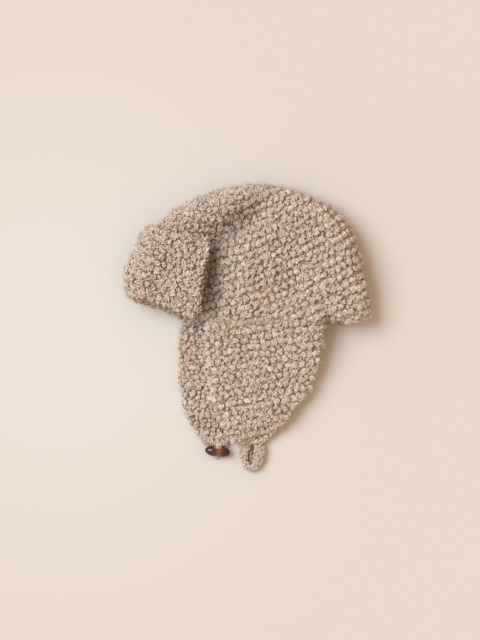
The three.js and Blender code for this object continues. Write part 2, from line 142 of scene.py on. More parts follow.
# Ridge directions at a few places: X, Y and the angle from +X. For each piece the ridges' spacing,
# the nubs' scale, how strongly the ridges show, and how light the ground is against its painted shade
# colour.
CROWN_ROWS = [
    (145, 50, 21),
    (118, 95, 32),
    (88, 132, 42),
    (40, 120, 38),
    (60, 60, 32),
    (10, 60, 28),
    (15, 158, 22),
    (-45, 145, -28),
    (-95, 110, -40),
    (-50, 60, 10),
    (60, 5, 12),
]
PEAK_ROWS = [(-100, 60, -19)]
LEFT_FLAP_ROWS = [(20, -30, 5), (20, -80, 8), (5, -130, 28)]
RIGHT_FLAP_ROWS = [(-40, -70, -8)]
LOOP_ROWS = [(5, -155, 20)]
KNITS = {
    "crown": {"rows": CROWN_ROWS, "spacing": 10.4, "scale": 1.0, "ridges": 1.0, "ground": 1},
    "front_peak": {"rows": PEAK_ROWS, "spacing": 9.4, "scale": 1.0, "ridges": 0.3, "ground": 1},
    "ear_flap_left": {"rows": LEFT_FLAP_ROWS, "spacing": 10.2, "scale": 1.0, "ridges": 1.0, "ground": 1},
    "ear_flap_right": {"rows": RIGHT_FLAP_ROWS, "spacing": 11, "scale": 0.95, "ridges": 0.6, "ground": 1},
    "button_loop": {"rows": LOOP_ROWS, "spacing": 5.0, "scale": 0.5, "ridges": 0.3, "ground": 1.9},
}
VALLEY_DEPTH = 1.0  # how much lower nubs lie between two ridges
VALLEY_SHADE = 0.08  # and the share of their colour's light painted out, as painted shade
VALLEY_BAND = (0.2, 0.42)  # where a valley starts and is full, from the ridge line, in spacings
RIDGES_GROW = (40, 135)  # along X, where the ridges grow to their full height
RIDGES_LEAST = 0.3  # and their height before it
ROW_REACH = 45  # how far a measured direction carries
ROW_CELL = 14  # grid on which the ridges are worked out

# Yarn colours, linear, their weights in the yarn's mix, and how its brightness varies
WARM = (0.805, 0.625, 0.50)
GREY = (0.77, 0.668, 0.588)
PALE = (0.95, 0.90, 0.84)
YARN_SHARES = (0.9, 0.8, 0.6)
YARN_BRIGHTNESS = (0.82, 1.12)
CORE_LIGHT = 0.88  # painted shade: a nub's core against its curls, darker as it lies under them
CORE_MOTTLE = (0.78, 1.1)
PAINTED_FOOT_SHADE = (0.68, 0.58, 0.50)  # painted shade: what is left of a strand's colour at the foot of a nub
PAINTED_FOOT_SHADE_RISE = (-0.15, 0.62)  # heights on a nub between which the painted shade gives way to its full colour
# painted shade: the dark colour of the knit's ground, seen between the nubs
PAINTED_GROUND_SHADE = (0.32, 0.23, 0.17)
FUZZ_PAINTED_LIGHT = (1.16, 1.13, 1.11)  # painted light: fibres at the outline made lighter than the yarn, as they catch the light
NUB_OWN_TINT = 0.66  # how far a nub's colour lies from the mean one

# Places of painted shade, where the knit lies in shadow beside the peak's edge, in the valley above it
# and in the notch at the left flap's corner, or of lighter colour along an edge: half sizes, the
# direction of the longer one, and the share of light painted out at the middle
PAINTED_SHADES = [
    {"piece": "crown", "at": (-40, 53), "angle": 86, "half": (54, 12), "share": 0.48},
    {"piece": "crown", "at": (-13, 125), "angle": 42, "half": (40, 15), "share": 0.34},
    {"piece": "crown", "at": (97, 10), "angle": 0, "half": (6, 4), "share": 0.6},
    {"piece": "ear_flap_left", "at": (94, 6), "angle": 0, "half": (6, 4), "share": 0.6},
    {"piece": "ear_flap_left", "at": (-45, -52), "angle": 94, "half": (50, 6), "share": -0.12},
]
PAINTED_SHADE_TINT = (0.94, 1.03, 1.1)  # painted shade is warm: it takes away less red light than blue

# Places where the knit is pulled out or in a little from the solid's face, with the same columns as the
# places of painted shade
PULLS = [
    {"piece": "front_peak", "at": (-106, 16), "angle": -24, "half": (30, 13), "by": (0.6, 6.6, 0)},
    {"piece": "crown", "at": (124, 134), "angle": -52, "half": (42, 14), "by": (1.8, 2.0, 0)},
]

# Strands laid over the peak's free edge, which is a path in X and Y, and how they vary
EDGE_STITCHES = {
    "name": "front_peak_edge",
    "path": [(-47.5, 106), (-46.5, 92), (-47.5, 84), (-52.5, 72), (-55.5, 52), (-57.5, 30), (-59.5, 14)],
    "apart": 3.9,
    "angle": 35,
    "angle_spread": 32,
    "half_length": 3.0,
    "lengths": (0.65, 1.35),
    "bend_spread": 1.4,
    "x_spread": 0.9,
    "radius": (0.8, 1.5),
    "above": 1.5,
    "end_drop": 1.8,
    "most_drop": 3.5,
    "points": 7,
    "sides": 5,
}
NEARLY_UP = (0.02, 0.01, 1.0)  # so that it is never along a strand
ABOVE_ALL = 200  # a level over the whole hat

# Loose curls that fill narrow places: each one's middle line in X and Y, the nubs' half sizes, and
# the thickness of the yarn. They lie at a level, or this far above the solids.
FILLS = [
    # loose fuzz in the loop's slit, with painted shade: its dark brown colour stands in for the shadow in
    # the slit
    {
        "name": "button_loop_slit",
        "path": [(6.2, -163.5), (4.7, -158), (4.0, -146.5)],
        "apart": 1.4,
        "half": (2.7, 2.3, 1.7),
        "level": 3.3,
        "yarn": 0.5,
        "colour": (0.56, 0.42, 0.33),
    },
    {
        "name": "peak_foot_upper",
        "path": [(-70, 11.5), (-54, 10.5)],
        "apart": 3.4,
        "half": (2.9, 2.9, 2.5),
        "level": 24,
        "yarn": 0.85,
        "colour": (0.78, 0.65, 0.55),
    },
    {
        "name": "peak_foot_lower",
        "path": [(-70, 8.2), (-52, 7.6)],
        "apart": 3.4,
        "half": (2.9, 2.9, 2.5),
        "level": 15,
        "yarn": 0.85,
        "colour": (0.78, 0.65, 0.55),
    },
    {
        "name": "crown_seam",
        "path": [(-40, 8.4), (30, 8.2), (88, 8.6)],
        "apart": 3.6,
        "half": (3.4, 3.0, 2.4),
        "above": -2.4,
        "yarn": 0.9,
        "colour": (0.74, 0.60, 0.50),
    },
]
FILL_NUBS = {"drift": 0.5, "sizes": (0.8, 1.2), "loose": 0.8, "shared": 0.85}  # for all of them
LOOSE_TILT = 0.25  # how much loose nubs turn away from their common direction

PIECE_TRIANGLES = 190000  # most triangles in one piece

# Toggle's centre, its tilt and how far its polish stands off the solid, and the yarn that ties it.
# TUFT has the tuft's nubs, as places beside the toggle.
TOGGLE = {"x": -35.4, "y": -148.67, "z": 6.7, "tilt": -7.2, "proud": 0.3}
WOOD_MIDDLE = -34.0  # where along X the wood is most orange
TOGGLE_VOXEL = 0.6
TIE = {"strands": 15, "spread": 4.2, "tails": 4, "points": 12, "sides": 6, "light": 0.85}
TUFT_NUBS = {"sizes": (2.4, 3.2), "loose": 0.6, "yarn": 0.8}
TUFT = [
    (-5.5, 10.2, -1.5),
    (-2.2, 9.6, 0.3),
    (1.2, 9.4, 0.9),
    (4.4, 9.8, 0.2),
    (7.2, 10.6, -1.6),
    (0.9, 8.0, 0.8),
]

# Light: a soft key from the hat's front and the warmer light of the room
KEY = {"azimuth": 158, "elevation": 47, "angle": 40, "strength": 1.98, "colour": (1.0, 1.152, 1.311)}
SKY = {"colour": (1.0, 0.79, 0.575, 1), "strength": 0.635}

# Floor: its colour, and a cooler, lighter one that it nears round a place in front of the hat, a painted
# pool of light
FLOOR = {
    "colour": (0.753, 0.676, 0.624, 1),
    "painted_pool": (0.782, 0.752, 0.705, 1),
    "place": (-225, -5, 0),
    "reach": 470,
    "half": 6000,
}


def smooth_step(value, low, high):
    t = np.clip((value - low) / (high - low), 0, 1)
    return t * t * (3 - 2 * t)


def unit(vectors):
    return vectors / np.maximum(np.linalg.norm(vectors, axis=-1, keepdims=True), 1e-9)


# Meshes


def new_mesh(points, faces, tint):
    """A mesh from points in millimetres, arrays of faces with as many corners, and colours."""
    mesh = bpy.data.meshes.new("mesh")
    mesh.vertices.add(len(points))
    mesh.vertices.foreach_set("co", (points * MM).astype(np.float32).ravel())
    corners = np.concatenate([f.ravel() for f in faces])
    sizes = np.concatenate([np.full(len(f), f.shape[1]) for f in faces])
    starts = np.concatenate([[0], np.cumsum(sizes)[:-1]])
    mesh.loops.add(len(corners))
    mesh.loops.foreach_set("vertex_index", corners.astype(np.int32))
    mesh.polygons.add(len(sizes))
    mesh.polygons.foreach_set("loop_start", starts.astype(np.int32))
    mesh.update(calc_edges=True)
    mesh.validate()
    mesh.shade_smooth()
    paint(mesh, tint)
    return mesh


def paint(mesh, tint):
    colours = mesh.color_attributes.new("tint", "FLOAT_COLOR", "POINT")
    rgba = np.concatenate([tint, np.ones((len(tint), 1))], axis=1)
    colours.data.foreach_set("color", rgba.astype(np.float32).ravel())


def add_piece(name, mesh, material, nodes=()):
    mesh.name = name
    piece = bpy.data.objects.new(name, mesh)
    bpy.context.scene.collection.objects.link(piece)
    mesh.materials.clear()
    mesh.materials.append(material)
    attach(piece, "root")
    if nodes:
        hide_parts(*nodes)


def even_mesh(node, voxel):
    """A node's surface as an even mesh of small squares, a little smoothed."""
    work = bpy.data.objects.new("work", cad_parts[node].data.copy())
    bpy.context.scene.collection.objects.link(work)
    squares = work.modifiers.new("squares", "REMESH")
    squares.mode = "VOXEL"
    squares.voxel_size = voxel * MM
    graph = bpy.context.evaluated_depsgraph_get()
    mesh = bpy.data.meshes.new_from_object(work.evaluated_get(graph))
    bpy.data.objects.remove(work)
    points = read_points(mesh)
    edges = read(mesh.edges, "vertices", 2, np.int32)
    for step in SMOOTHING:
        points = points + step * (neighbour_mean(points, edges) - points)
    write_points(mesh, points)
    return mesh, points, edges


def read(items, key, width, kind):
    values = np.zeros(len(items) * width, kind)
    items.foreach_get(key, values)
    return values.reshape(-1, width)


def read_points(mesh):
    return read(mesh.vertices, "co", 3, np.float32).astype(float) / MM


def write_points(mesh, points):
    mesh.vertices.foreach_set("co", (points * MM).astype(np.float32).ravel())
    mesh.update()


def read_normals(mesh):
    return read(mesh.vertex_normals, "vector", 3, np.float32).astype(float)


def read_triangles(mesh):
    mesh.calc_loop_triangles()
    return read(mesh.loop_triangles, "vertices", 3, np.int32)


def neighbour_mean(values, edges):
    a, b = edges.T
    count = len(values)
    total = np.stack(
        [
            np.bincount(a, values[b, k], count) + np.bincount(b, values[a, k], count)
            for k in range(values.shape[1])
        ],
        axis=1,
    )
    degree = np.bincount(a, minlength=count) + np.bincount(b, minlength=count)
    return total / np.maximum(degree, 1)[:, None]


# Ridges: a smooth field whose whole numbers are the ridge lines


def row_angle(rows, x, y):
    total = np.zeros(np.shape(x), complex)
    for row_x, row_y, angle in rows:
        weight = np.exp(-((x - row_x) ** 2 + (y - row_y) ** 2) / (2 * ROW_REACH**2)) + 1e-9
        total = total + weight * np.exp(2j * math.radians(angle))
    return np.angle(total) / 2


def row_field(rows, spacing, low, high):
    """Solves for the field on a grid, so that it rises by one from ridge to ridge."""
    xs = np.arange(low[0] - ROW_CELL, high[0] + 2 * ROW_CELL, ROW_CELL)
    ys = np.arange(low[1] - ROW_CELL, high[1] + 2 * ROW_CELL, ROW_CELL)
    number = np.arange(len(xs) * len(ys)).reshape(len(ys), len(xs))
    equations = []
    for step, axis in ((1, 0), (0, 1)):
        a = number[: len(ys) - axis, : len(xs) - step].ravel()
        b = number[axis:, step:].ravel()
        x = xs[a % len(xs)] + step * ROW_CELL / 2
        y = ys[a // len(xs)] + axis * ROW_CELL / 2
        angle = row_angle(rows, x, y)
        slope = (-np.sin(angle) if step else np.cos(angle)) / spacing
        equations.append((a, b, slope * ROW_CELL))
    a, b, rise = (np.concatenate(part) for part in zip(*equations))
    matrix = np.zeros((len(a) + 1, number.size))
    matrix[np.arange(len(a)), a] = -1
    matrix[np.arange(len(a)), b] = 1
    matrix[-1, 0] = 1
    values = np.linalg.lstsq(matrix, np.append(rise, 0.0), rcond=None)[0].reshape(number.shape)
    return {"xs": xs, "ys": ys, "values": values}


def field_at(field, points):
    column = (points[:, 0] - field["xs"][0]) / ROW_CELL
    row = (points[:, 1] - field["ys"][0]) / ROW_CELL
    i = np.clip(column.astype(int), 0, len(field["xs"]) - 2)
    j = np.clip(row.astype(int), 0, len(field["ys"]) - 2)
    s, t = column - i, row - j
    v = field["values"]
    low = v[j, i] * (1 - s) + v[j, i + 1] * s
    high = v[j + 1, i] * (1 - s) + v[j + 1, i + 1] * s
    return low * (1 - t) + high * t


# Nub sites


def clearances(points, normals, tree, owners):
    """How far each point is from what faces it, along its normal, and which node that is."""
    start = 0.6
    up = Vector((0, 0, 1))
    away = np.full(len(points), 1e3)
    facing = np.full(len(points), "", dtype=object)
    for i, (point, normal) in enumerate(zip(points, normals)):
        hit = tree.ray_cast(Vector(point + normal * start), Vector(normal), OPEN + 1)
        if hit[3] is None:
            continue
        beside_seam = hit[3] < CLOSE and normal[2] > SEAM_FACING
        if beside_seam and tree.ray_cast(Vector(point) + start * up, up, OPEN)[3] is None:
            continue
        away[i] = hit[3] + start
        facing[i] = owners[hit[2]]
    return away, facing


def all_solids_tree():
    points, triangles, owners = [], [], []
    for name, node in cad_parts.items():
        corners = read_triangles(node.data) + len(points)
        triangles.extend(corners.tolist())
        owners.extend([name] * len(corners))
        points.extend(read_points(node.data).tolist())
    return BVHTree.FromPolygons(points, triangles), owners


def scatter(ground, rng):
    """Random places all over a ground: a corner of each one's triangle, its point and its normal."""
    corners = read_triangles(ground["mesh"])
    a, b, c = (ground["points"][corners[:, k]] for k in range(3))
    area = np.linalg.norm(np.cross(b - a, c - a), axis=1) / 2
    pick = rng.choice(len(corners), int(area.sum() / CANDIDATE_AREA), p=area / area.sum())
    share = rng.dirichlet((1, 1, 1), len(pick))
    corners = corners[pick]
    points = sum(share[:, k : k + 1] * ground["points"][corners[:, k]] for k in range(3))
    normals = unit(sum(share[:, k : k + 1] * ground["normals"][corners[:, k]] for k in range(3)))
    return corners[:, 0], points, normals


class Taken:
    """Sites so far, in cells, to find those near a point."""

    def __init__(self, cell):
        self.cell = cell
        self.cells = {}

    def key(self, point):
        return tuple(int(math.floor(c / self.cell)) for c in point)

    def near(self, point):
        x, y, z = self.key(point)
        for i in (x - 1, x, x + 1):
            for j in (y - 1, y, y + 1):
                for k in (z - 1, z, z + 1):
                    yield from self.cells.get((i, j, k), ())

    def add(self, point, site):
        self.cells.setdefault(self.key(point), []).append(site)


def candidates(grounds, rng):
    """Places for nubs on all knitted pieces, mixed, with how far each is from its ridge line."""
    found = []
    for name, ground in grounds.items():
        at, points, normals = scatter(ground, rng)
        phase = field_at(ground["field"], points)
        off = np.abs(phase - np.round(phase))
        inside = (ground["facing"][at] == name) & (points[:, 1] > MOUTH_REACH)
        keep = ground["shown"][at] & ~inside
        for i in np.flatnonzero(keep):
            found.append((name, at[i], off[i], points[i], normals[i]))
    return [found[k] for k in rng.permutation(len(found))]


def choose_sites(grounds, rng):
    """Sites along the ridges of all knitted pieces together, so that they carry on across seams."""
    places = candidates(grounds, rng)
    taken = Taken(max(p["apart"] for p in NUB_PASSES))
    sites = []
    for step, nub in enumerate(NUB_PASSES):
        for name, vertex, off, point, normal in places:
            if off > nub["band"]:
                continue
            scale = KNITS[name]["scale"]
            least = nub["apart"] * scale
            clear = True
            for other in taken.near(point):
                apart = min(least, nub["apart"] * other["scale"])
                same_side = np.dot(other["normal"], normal) > SAME_SIDE
                if math.dist(other["point"], point) < apart and same_side:
                    clear = False
                    break
            if clear:
                site = {
                    "piece": name,
                    "vertex": vertex,
                    "point": point,
                    "normal": normal,
                    "scale": scale,
                    "size": step,
                    "valley": valley_share(name, off, point),
                }
                sites.append(site)
                taken.add(point, site)
    return sites


def valley_share(name, off, point):
    """How far a place lies down between two ridges, from its distance to the nearest one."""
    grown = RIDGES_LEAST + (1 - RIDGES_LEAST) * float(smooth_step(point[0], *RIDGES_GROW))
    return KNITS[name]["ridges"] * grown * float(smooth_step(off, *VALLEY_BAND))


def looseness(points, pieces):
    """How loose the curls are: most on the peak and the crown over it, least at the back."""
    x, y = points[:, 0], points[:, 1]
    over_peak = smooth_step(-x, *OVER_PEAK["front"]) * smooth_step(y, *OVER_PEAK["top"])
    on_peak = LOOSENESS["peak"] * (pieces == "front_peak")
    return np.clip(LOOSENESS["least"] + on_peak + LOOSENESS["crown"] * over_peak, 0, 1)


def within(spot, points, pieces):
    """How far each point is inside a long round spot of one piece, from 0 to 1."""
    turn = math.radians(spot["angle"])
    x, y = (points[:, :2] - spot["at"]).T
    along = (x * math.cos(turn) + y * math.sin(turn)) / spot["half"][0]
    across = (y * math.cos(turn) - x * math.sin(turn)) / spot["half"][1]
    return np.exp(-(along**4) - across**2)[:, None] * (pieces == spot["piece"])[:, None]


def painted_shade(points, pieces):
    """Painted shade: share of each colour's light left at each point, from the table of painted shade
    places.
    """
    left = np.ones((len(points), 3))
    for spot in PAINTED_SHADES:
        left = left * (1 - spot["share"] * within(spot, points, pieces) * np.array(PAINTED_SHADE_TINT))
    return left


def pulled(points, pieces):
    for spot in PULLS:
        points = points + within(spot, points, pieces) * np.array(spot["by"])
    return points


def soft_depth(normals, pieces):
    """How much further in the knit's body lies at each point of the outline's soft sides."""
    azimuth = np.degrees(np.arctan2(normals[:, 1], normals[:, 0])) % 360
    depth = np.zeros(len(normals))
    for name, (at, values) in SOFT_SIDES.items():
        found = np.interp(azimuth, at, values, period=360)
        depth = np.where(pieces == name, found, depth)
    z = normals[:, 2]
    return depth * smooth_step(1 - np.where(z > 0, z, -UNDER_SHARE * z), *SOFT_STEEPNESS)


def site_arrays(sites, grounds, rng):
    """Each site's place, axes, half sizes and looseness, as arrays."""
    points = np.array([s["point"] for s in sites])
    n = np.array([s["normal"] for s in sites])
    angle = np.array([grounds[s["piece"]]["angle"][s["vertex"]] for s in sites])
    along = np.stack([np.cos(angle), np.sin(angle), np.zeros(len(sites))], axis=1)
    t = along - n * (along * n).sum(1, keepdims=True)
    flat = np.linalg.norm(t, axis=1) < 0.2
    t[flat] = np.cross(n[flat], [0, 0, 1.0])
    t = unit(t)
    b = np.cross(n, t)
    scale = np.array([s["scale"] for s in sites])
    half = np.array([[NUB_PASSES[s["size"]][k] for k in ("along", "across", "high")] for s in sites])
    half = half * rng.uniform(*NUB_SIZES, (len(sites), 3)) * scale[:, None]
    sink = np.array([NUB_PASSES[s["size"]]["sink"] for s in sites])
    sink = (sink + rng.normal(0, SINK_SPREAD, len(sites))) * scale
    pieces = np.array([s["piece"] for s in sites])
    valley = np.array([s["valley"] for s in sites])
    sink = sink + soft_depth(n, pieces) + VALLEY_DEPTH * scale * valley
    return {
        "points": points,
        "n": n,
        "t": t,
        "b": b,
        "half": half,
        "sink": sink,
        "loose": looseness(points, pieces),
        # painted shade of each nub: from the places of painted shade and in the valleys between ridges
        "light": painted_shade(points, pieces) * (1 - VALLEY_SHADE * valley)[:, None],
    }


def loose_sites(points, up, side, sizes, half, loose, rng):
    """Sites for nubs that belong to no ground, turned a little at random and with no painted shade."""
    count = len(points)
    n = unit(np.tile(np.array(up), (count, 1)) + LOOSE_TILT * rng.normal(size=(count, 3)))
    t = unit(np.cross(n, side))
    return {
        "points": points,
        "n": n,
        "t": t,
        "b": np.cross(n, t),
        "half": rng.uniform(*sizes, (count, 3)) * np.array(half),
        "sink": np.zeros(count),
        "loose": np.full(count, loose),
        "light": np.ones((count, 3)),
    }


def some_of(sites, pick):
    return {key: values[pick] for key, values in sites.items()}


# Yarn


def arcs(sites, kind, rng):
    """Centre lines of the curls over each nub, with their outward directions."""
    nubs = len(sites["points"])
    count = nubs * kind["count"]
    turn = np.tile(np.arange(kind["count"]) / kind["count"], nubs) + rng.uniform(-0.1, 0.1, count)
    turn = 2 * math.pi * (turn + np.repeat(rng.uniform(0, 1, nubs), kind["count"]))
    lean = np.arccos(rng.uniform(math.cos(math.radians(kind["cap"])), 1, count))
    middle = np.stack([np.sin(lean) * np.cos(turn), np.sin(lean) * np.sin(turn), np.cos(lean)], 1)
    side = unit(np.cross(middle, rng.normal(size=(count, 3))))
    circle = np.radians(rng.uniform(*kind["circle"], count))[:, None]
    axis = middle * np.cos(circle) + side * np.sin(circle)
    first = (middle - np.cos(circle) * axis) / np.sin(circle)
    second = np.cross(axis, first)
    s = np.linspace(-1, 1, kind["rings"])[None, :]
    loose = np.repeat(sites["loose"], kind["count"])[:, None]
    length = rng.uniform(*kind["length"], (count, 1)) * (1 + 0.15 * loose)
    angle = np.minimum(length / np.sin(circle), LONGEST_ARC) / 2 * s
    ring = np.cos(angle)[..., None] * first[:, None] + np.sin(angle)[..., None] * second[:, None]
    outward = np.cos(circle)[..., None] * axis[:, None] + np.sin(circle)[..., None] * ring
    reach = rng.uniform(*kind["reach"], (count, 1)) + 0.12 * loose * rng.uniform(-0.6, 1, (count, 1))
    reach = reach + 0.05 * np.sin(math.pi * (1.6 * s + rng.uniform(0, 2, (count, 1))))
    reach = reach - 0.3 * np.abs(s) ** 4
    half = np.repeat(sites["half"], kind["count"], axis=0)
    local = outward * reach[..., None] * half[:, None]
    return place(local, outward, sites, kind["count"])


def place(local, outward, sites, copies):
    frames = [np.repeat(sites[k], copies, axis=0)[:, None] for k in ("t", "b", "n")]
    middle = sites["points"] - sites["n"] * sites["sink"][:, None]
    middle = np.repeat(middle, copies, axis=0)[:, None]
    line = middle + sum(local[..., k : k + 1] * frames[k] for k in range(3))
    facing = unit(sum(outward[..., k : k + 1] * frames[k] for k in range(3)))
    return line, facing


def tubes(line, facing, radius, sides):
    """Closed tubes round centre lines of the same number of points."""
    count, rings = line.shape[:2]
    along = unit(np.gradient(line, axis=1))
    up = unit(facing - along * (facing * along).sum(-1, keepdims=True))
    across = np.cross(along, up)
    angle = 2 * math.pi * np.arange(sides) / sides
    spoke = (
        np.cos(angle)[None, None, :, None] * up[:, :, None]
        + np.sin(angle)[None, None, :, None] * across[:, :, None]
    )
    points = line[:, :, None] + radius[:, :, None, None] * spoke
    start = (np.arange(count) * rings * sides)[:, None, None]
    ring = (np.arange(rings - 1) * sides)[None, :, None]
    k = np.arange(sides)[None, None, :]
    a, b = start + ring + k, start + ring + (k + 1) % sides
    quads = np.stack([a, b, b + sides, a + sides], axis=-1).reshape(-1, 4)
    first = start[:, 0] + np.arange(sides)[::-1][None]
    last = start[:, 0] + (rings - 1) * sides + np.arange(sides)[None]
    return points.reshape(-1, 3), quads, np.concatenate([first, last])


def yarn_tint(count, rng):
    """Colours of single strands: warm, grey and pale ones in uneven shares."""
    share = rng.dirichlet(YARN_SHARES, count)
    colour = share @ np.array([WARM, GREY, PALE])
    return colour * rng.uniform(*YARN_BRIGHTNESS, (count, 1))


def foot_shading(height):
    """Painted shade at the foot of a nub: what is left of each colour channel at a height on it, from its
    foot to its top.
    """
    rise = smooth_step(height, *PAINTED_FOOT_SHADE_RISE)[..., None]
    return np.array(PAINTED_FOOT_SHADE) * (1 - rise) + rise


def curl_mesh(sites, kind, nub_tint, scale, rng, shared=0.35):
    """Curls of yarn, each with its nub's colour in this share and its own in the rest."""
    line, facing = arcs(sites, kind, rng)
    count = len(line)
    s = np.linspace(-1, 1, kind["rings"])[None, :]
    waves = rng.uniform(1, 2.2, (count, 1))
    start = rng.uniform(0, 2, (count, 1))
    slub = 1 + SLUB * np.sin(math.pi * (waves * s + start))
    ends = 0.4 + 0.6 * np.sqrt(1 - np.abs(s) ** 3)
    thick = 1 + 0.12 * np.repeat(sites["loose"], kind["count"])[:, None]
    radius = scale * thick * rng.uniform(*kind["radius"], (count, 1)) * slub * ends
    line[..., 2] = np.maximum(line[..., 2], REST_LEVEL + radius)
    points, quads, caps = tubes(line, facing, radius, YARN_SIDES)
    colour = shared * np.repeat(nub_tint, kind["count"], axis=0) + (1 - shared) * yarn_tint(count, rng)
    # painted shade of each nub, and below, painted shade at its foot
    colour = colour * np.repeat(sites["light"], kind["count"], axis=0)
    height = (facing * np.repeat(sites["n"], kind["count"], axis=0)[:, None]).sum(-1)
    tint = (colour[:, None] * foot_shading(height)).reshape(-1, 3)
    return new_mesh(points, [quads, caps], np.repeat(tint, YARN_SIDES, axis=0))


def ball(level):
    """Corners and triangles of a round body."""
    work = bmesh.new()
    bmesh.ops.create_icosphere(work, subdivisions=level, radius=1)
    corners = np.array([v.co[:] for v in work.verts])
    triangles = np.array([[v.index for v in f.verts] for f in work.faces])
    work.free()
    return corners, triangles


def core_mesh(sites, level, nub_tint, rng):
    """The body of each nub, uneven, a little smaller than the curls' reach, with painted shade at its
    foot.
    """
    corners, triangles = ball(level)
    nubs = len(sites["points"])
    uneven = 1 + NUB_DENT * rng.normal(size=(nubs, len(corners), 1))
    size = (0.93 - 0.14 * sites["loose"])[:, None, None]
    outward = np.broadcast_to(corners, (nubs, *corners.shape))
    line, _ = place(outward * uneven * size * sites["half"][:, None], outward, sites, 1)
    line[..., 2] = np.maximum(line[..., 2], REST_LEVEL)
    faces = (triangles[None] + (np.arange(nubs) * len(corners))[:, None, None]).reshape(-1, 3)
    # painted shade: the core darker than its curls, with its nub's painted shade and that at its foot
    colour = (CORE_LIGHT * nub_tint * sites["light"])[:, None] * foot_shading(corners[:, 2])[None]
    colour = colour * rng.uniform(*CORE_MOTTLE, (nubs, len(corners), 1))
    return new_mesh(line.reshape(-1, 3), [faces], colour.reshape(-1, 3))


def fibre_mesh(sites, kind, nub_tint, scale, rng):
    """Loose fibres standing off the nubs."""
    copies = kind["copies"]
    count = len(sites["points"]) * copies
    outward = rng.normal(size=(count, 3))
    outward[:, 2] = np.abs(outward[:, 2]) * 0.9 + 0.1
    outward = unit(outward)
    drift = unit(np.cross(outward, rng.normal(size=(count, 3))))
    length = rng.uniform(*kind["length"], (count, 1)) * scale
    half = np.repeat(sites["half"], copies, axis=0)
    root = outward * half * 0.95
    middle = root + outward * length * 0.42 + drift * length * 0.12
    tip = root + outward * length * 0.55 + drift * length * 0.6
    local = np.stack([root, middle, tip], axis=1)
    facing = np.repeat(unit(np.cross(outward, drift))[:, None], 3, axis=1)
    line, facing = place(local, facing, sites, copies)
    line[..., 2] = np.maximum(line[..., 2], REST_LEVEL + kind["radius"])
    radius = kind["radius"] * np.array([[1.0, 0.8, 0.2]]) * rng.uniform(0.8, 1.25, (count, 1))
    points, quads, caps = tubes(line, facing, radius, YARN_SIDES)
    colour = 0.5 * np.repeat(nub_tint, copies, axis=0) + 0.5 * yarn_tint(count, rng)
    # painted shade of each nub, then painted light that makes the fibres lighter than the yarn
    colour = colour * np.repeat(sites["light"], copies, axis=0)
    colour = np.minimum(colour * np.array(FUZZ_PAINTED_LIGHT), 0.95)
    return new_mesh(points, [quads, caps], np.repeat(colour, line.shape[1] * YARN_SIDES, axis=0))


# Yarn laid along given paths


def on_solids(tree, x, y, above):
    """A point over the highest face of the solids at a place, or above the floor."""
    hit = tree.ray_cast(Vector((x, y, ABOVE_ALL)), Vector((0, 0, -1)))[0]
    return np.array([x, y, (hit.z if hit else 0) + above])


def along_path(path, apart):
    """Points every so far along a path in X and Y."""
    path = np.array(path, float)
    steps = np.linalg.norm(np.diff(path, axis=0), axis=1)
    at = np.concatenate([[0], np.cumsum(steps)])
    places = np.arange(0, at[-1], apart)
    return np.stack([np.interp(places, at, path[:, k]) for k in range(2)], axis=1)


def strand_mesh(lines, radii, facing, sides, colours):
    """Closed tubes along lines of the same number of points, kept above the floor."""
    line = np.array(lines)
    radius = np.array(radii)
    line[..., 2] = np.maximum(line[..., 2], REST_LEVEL + radius)
    points, quads, caps = tubes(line, facing, radius, sides)
    return new_mesh(points, [quads, caps], np.repeat(colours, radius.shape[1] * sides, axis=0))


def edge_stitches(tree, yarn):
    """Short strands laid side by side over the peak's free edge."""
    rng = np.random.default_rng(SEEDS["edges"])
    row = EDGE_STITCHES
    along = np.linspace(-1, 1, row["points"])
    lines, radii = [], []
    for x, y in along_path(row["path"], row["apart"]):
        angle = math.radians(row["angle"] + rng.normal(0, row["angle_spread"]))
        way = np.array([math.cos(angle), math.sin(angle)])
        side = np.array([-way[1], way[0]])
        half = row["half_length"] * rng.uniform(*row["lengths"])
        bend = rng.normal(0, row["bend_spread"])
        middle = np.array([x + rng.normal(0, row["x_spread"]), y])
        thick = rng.uniform(*row["radius"])
        line = []
        for s in along:
            x, y = middle + way * half * s + side * bend * (1 - s * s)
            line.append(on_solids(tree, x, y, row["above"] - row["end_drop"] * s**4))
        line = np.array(line)
        line[:, 2] = np.maximum(line[:, 2], line[:, 2].max() - row["most_drop"])
        lines.append(line)
        radii.append(thick * np.sqrt(1.05 - along**4))
    facing = np.tile(np.array(NEARLY_UP), (len(lines), len(along), 1))
    mesh = strand_mesh(lines, radii, facing, row["sides"], yarn_tint(len(lines), rng))
    add_piece(row["name"], mesh, yarn)


# Materials


def new_material(name):
    """A material with one shader and no other nodes yet."""
    material = bpy.data.materials.new(name)
    material.use_nodes = True
    tree = material.node_tree
    tree.nodes.clear()
    shader = add_node(tree, "BsdfPrincipled", {})
    add_node(tree, "OutputMaterial", {"Surface": shader.outputs["BSDF"]})
    return material, tree, shader


def fill_inputs(tree, node, inputs):
    """Gives a node's inputs their values, or links them to other nodes' outputs."""
    for name, value in inputs.items():
        if isinstance(value, bpy.types.NodeSocket):
            tree.links.new(value, node.inputs[name])
        else:
            node.inputs[name].default_value = value


def add_node(tree, kind, inputs):
    node = tree.nodes.new("ShaderNode" + kind)
    fill_inputs(tree, node, inputs)
    return node


def add_ramp(tree, share, stops):
    """A colour ramp from pairs of a place and its colour, in their order."""
    ramp = add_node(tree, "ValToRGB", {"Fac": share})
    elements = ramp.color_ramp.elements
    for number, stop in ((0, stops[0]), (1, stops[-1])):
        elements[number].position = stop[0]
        elements[number].color = stop[1]
    for at, colour in stops[1:-1]:
        elements.new(at).color = colour
    return ramp


